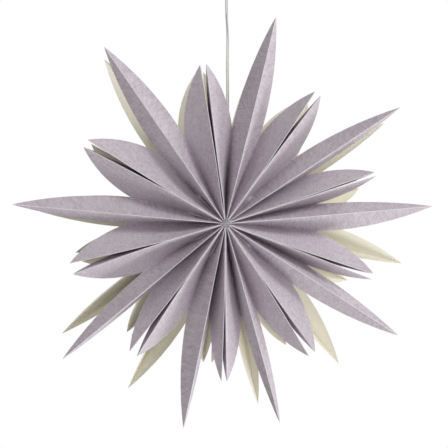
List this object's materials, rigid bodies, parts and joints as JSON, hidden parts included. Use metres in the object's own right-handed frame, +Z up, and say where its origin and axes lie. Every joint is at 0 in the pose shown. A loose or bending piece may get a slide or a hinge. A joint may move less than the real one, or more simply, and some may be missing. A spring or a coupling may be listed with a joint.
{
  "type": "folding paper star decoration",
  "caption": "Hanging paper star made of gusseted bags fanned round one axis, with long and short folded points; it opens at a seam and folds flat.",
  "frame": {"origin": "inside top of the thread loop, where the hook bears", "axes": "+Z up along the hanging thread, +Y along the star's axis from its front to its back, +X to the right seen from the front"},
  "size_m": [0.2981, 0.0662, 0.3236],
  "materials": {
    "paper_wall": "matt, linen-embossed outside, cream inside",
    "paper_pleat": "matt, linen-embossed outside, cream inside",
    "adhesive": "dried paper glue and peel-apart pads",
    "thread": "matt twisted white cotton thread"
  },
  "bodies": {
    "root": {"bag_1_bottom": "paper_wall", "thread_loop": "thread", "thread_knot": "thread"},
    "leaf_1": {"bag_1_left_wall": "paper_wall", "bag_1_left_pleat": "paper_pleat", "seam_pads": "adhesive"},
    "leaf_2": {"bag_1_right_wall": "paper_wall", "bag_1_right_pleat": "paper_pleat", "glue_band_1": "adhesive", "bag_2_left_wall": "paper_wall", "bag_2_left_pleat": "paper_pleat", "bag_2_bottom": "paper_wall"},
    "leaf_3": {"bag_2_right_wall": "paper_wall", "bag_2_right_pleat": "paper_pleat", "glue_band_2": "adhesive", "bag_3_left_wall": "paper_wall", "bag_3_left_pleat": "paper_pleat", "bag_3_bottom": "paper_wall"},
    "leaf_4": {"bag_3_right_wall": "paper_wall", "bag_3_right_pleat": "paper_pleat", "glue_band_3": "adhesive", "bag_4_left_wall": "paper_wall", "bag_4_left_pleat": "paper_pleat", "bag_4_bottom": "paper_wall"},
    "leaf_5": {"bag_4_right_wall": "paper_wall", "bag_4_right_pleat": "paper_pleat", "glue_band_4": "adhesive", "bag_5_left_wall": "paper_wall", "bag_5_left_pleat": "paper_pleat", "bag_5_bottom": "paper_wall"},
    "leaf_6": {"bag_5_right_wall": "paper_wall", "bag_5_right_pleat": "paper_pleat", "glue_band_5": "adhesive", "bag_6_left_wall": "paper_wall", "bag_6_left_pleat": "paper_pleat", "bag_6_bottom": "paper_wall"},
    "leaf_7": {"bag_6_right_wall": "paper_wall", "bag_6_right_pleat": "paper_pleat", "glue_band_6": "adhesive", "bag_7_left_wall": "paper_wall", "bag_7_left_pleat": "paper_pleat", "bag_7_bottom": "paper_wall"},
    "leaf_8": {"bag_7_right_wall": "paper_wall", "bag_7_right_pleat": "paper_pleat", "glue_band_7": "adhesive", "bag_8_left_wall": "paper_wall", "bag_8_left_pleat": "paper_pleat", "bag_8_bottom": "paper_wall"},
    "leaf_9": {"bag_8_right_wall": "paper_wall", "bag_8_right_pleat": "paper_pleat", "glue_band_8": "adhesive", "bag_9_left_wall": "paper_wall", "bag_9_left_pleat": "paper_pleat", "bag_9_bottom": "paper_wall"},
    "leaf_10": {"bag_9_right_wall": "paper_wall", "bag_9_right_pleat": "paper_pleat"}
  },
  "joints": [
    {"name": "fold", "type": "hinge", "parent": "root", "child": "leaf_2", "pos_m": [-0.0035, 0, -0.168], "axis": [0, -1, 0], "range_deg": [0, 34.25], "deforming": ["bag_1_right_pleat", "bag_2_left_pleat"]},
    {"name": "fold_first_bag", "type": "hinge", "parent": "root", "child": "leaf_1", "pos_m": [-0.00393, 0, -0.17283], "axis": [0, -1, 0], "range_deg": [-6.76, 0], "deforming": ["bag_1_left_pleat"]},
    {"name": "fold_bag_2", "type": "hinge", "parent": "leaf_2", "child": "leaf_3", "pos_m": [0.00281, 0, -0.17162], "axis": [0, -1, 0], "range_deg": [0, 38.01], "deforming": ["bag_2_right_pleat", "bag_3_left_pleat"]},
    {"name": "fold_bag_3", "type": "hinge", "parent": "leaf_3", "child": "leaf_4", "pos_m": [-0.00043, 0, -0.17617], "axis": [0, -1, 0], "range_deg": [0, 38.01], "deforming": ["bag_3_right_pleat", "bag_4_left_pleat"]},
    {"name": "fold_bag_4", "type": "hinge", "parent": "leaf_4", "child": "leaf_5", "pos_m": [-0.00107, 0, -0.17807], "axis": [0, -1, 0], "range_deg": [0, 36.51], "deforming": ["bag_4_right_pleat", "bag_5_left_pleat"]},
    {"name": "fold_bag_5", "type": "hinge", "parent": "leaf_5", "child": "leaf_6", "pos_m": [-0.00243, 0, -0.18017], "axis": [0, -1, 0], "range_deg": [0, 33.76], "deforming": ["bag_5_right_pleat", "bag_6_left_pleat"]},
    {"name": "fold_bag_6", "type": "hinge", "parent": "leaf_6", "child": "leaf_7", "pos_m": [-0.0055, 0, -0.1816], "axis": [0, -1, 0], "range_deg": [0, 34.26], "deforming": ["bag_6_right_pleat", "bag_7_left_pleat"]},
    {"name": "fold_bag_7", "type": "hinge", "parent": "leaf_7", "child": "leaf_8", "pos_m": [-0.00731, 0, -0.17859], "axis": [0, -1, 0], "range_deg": [0, 38.01], "deforming": ["bag_7_right_pleat", "bag_8_left_pleat"]},
    {"name": "fold_bag_8", "type": "hinge", "parent": "leaf_8", "child": "leaf_9", "pos_m": [-0.00604, 0, -0.17566], "axis": [0, -1, 0], "range_deg": [0, 46.01], "deforming": ["bag_8_right_pleat", "bag_9_left_pleat"]},
    {"name": "fold_bag_9", "type": "hinge", "parent": "leaf_9", "child": "leaf_10", "pos_m": [-0.00541, 0, -0.17312], "axis": [0, -1, 0], "range_deg": [0, 51.51], "deforming": ["bag_9_right_pleat"]}
  ],
  "couplings": [
    {"joint": "fold_first_bag", "follows": "fold", "ratio": -0.19708},
    {"joint": "fold_bag_2", "follows": "fold", "ratio": 1.1095},
    {"joint": "fold_bag_3", "follows": "fold", "ratio": 1.1095},
    {"joint": "fold_bag_4", "follows": "fold", "ratio": 1.0657},
    {"joint": "fold_bag_5", "follows": "fold", "ratio": 0.9854},
    {"joint": "fold_bag_6", "follows": "fold", "ratio": 1},
    {"joint": "fold_bag_7", "follows": "fold", "ratio": 1.1095},
    {"joint": "fold_bag_8", "follows": "fold", "ratio": 1.3431},
    {"joint": "fold_bag_9", "follows": "fold", "ratio": 1.5036}
  ]
}
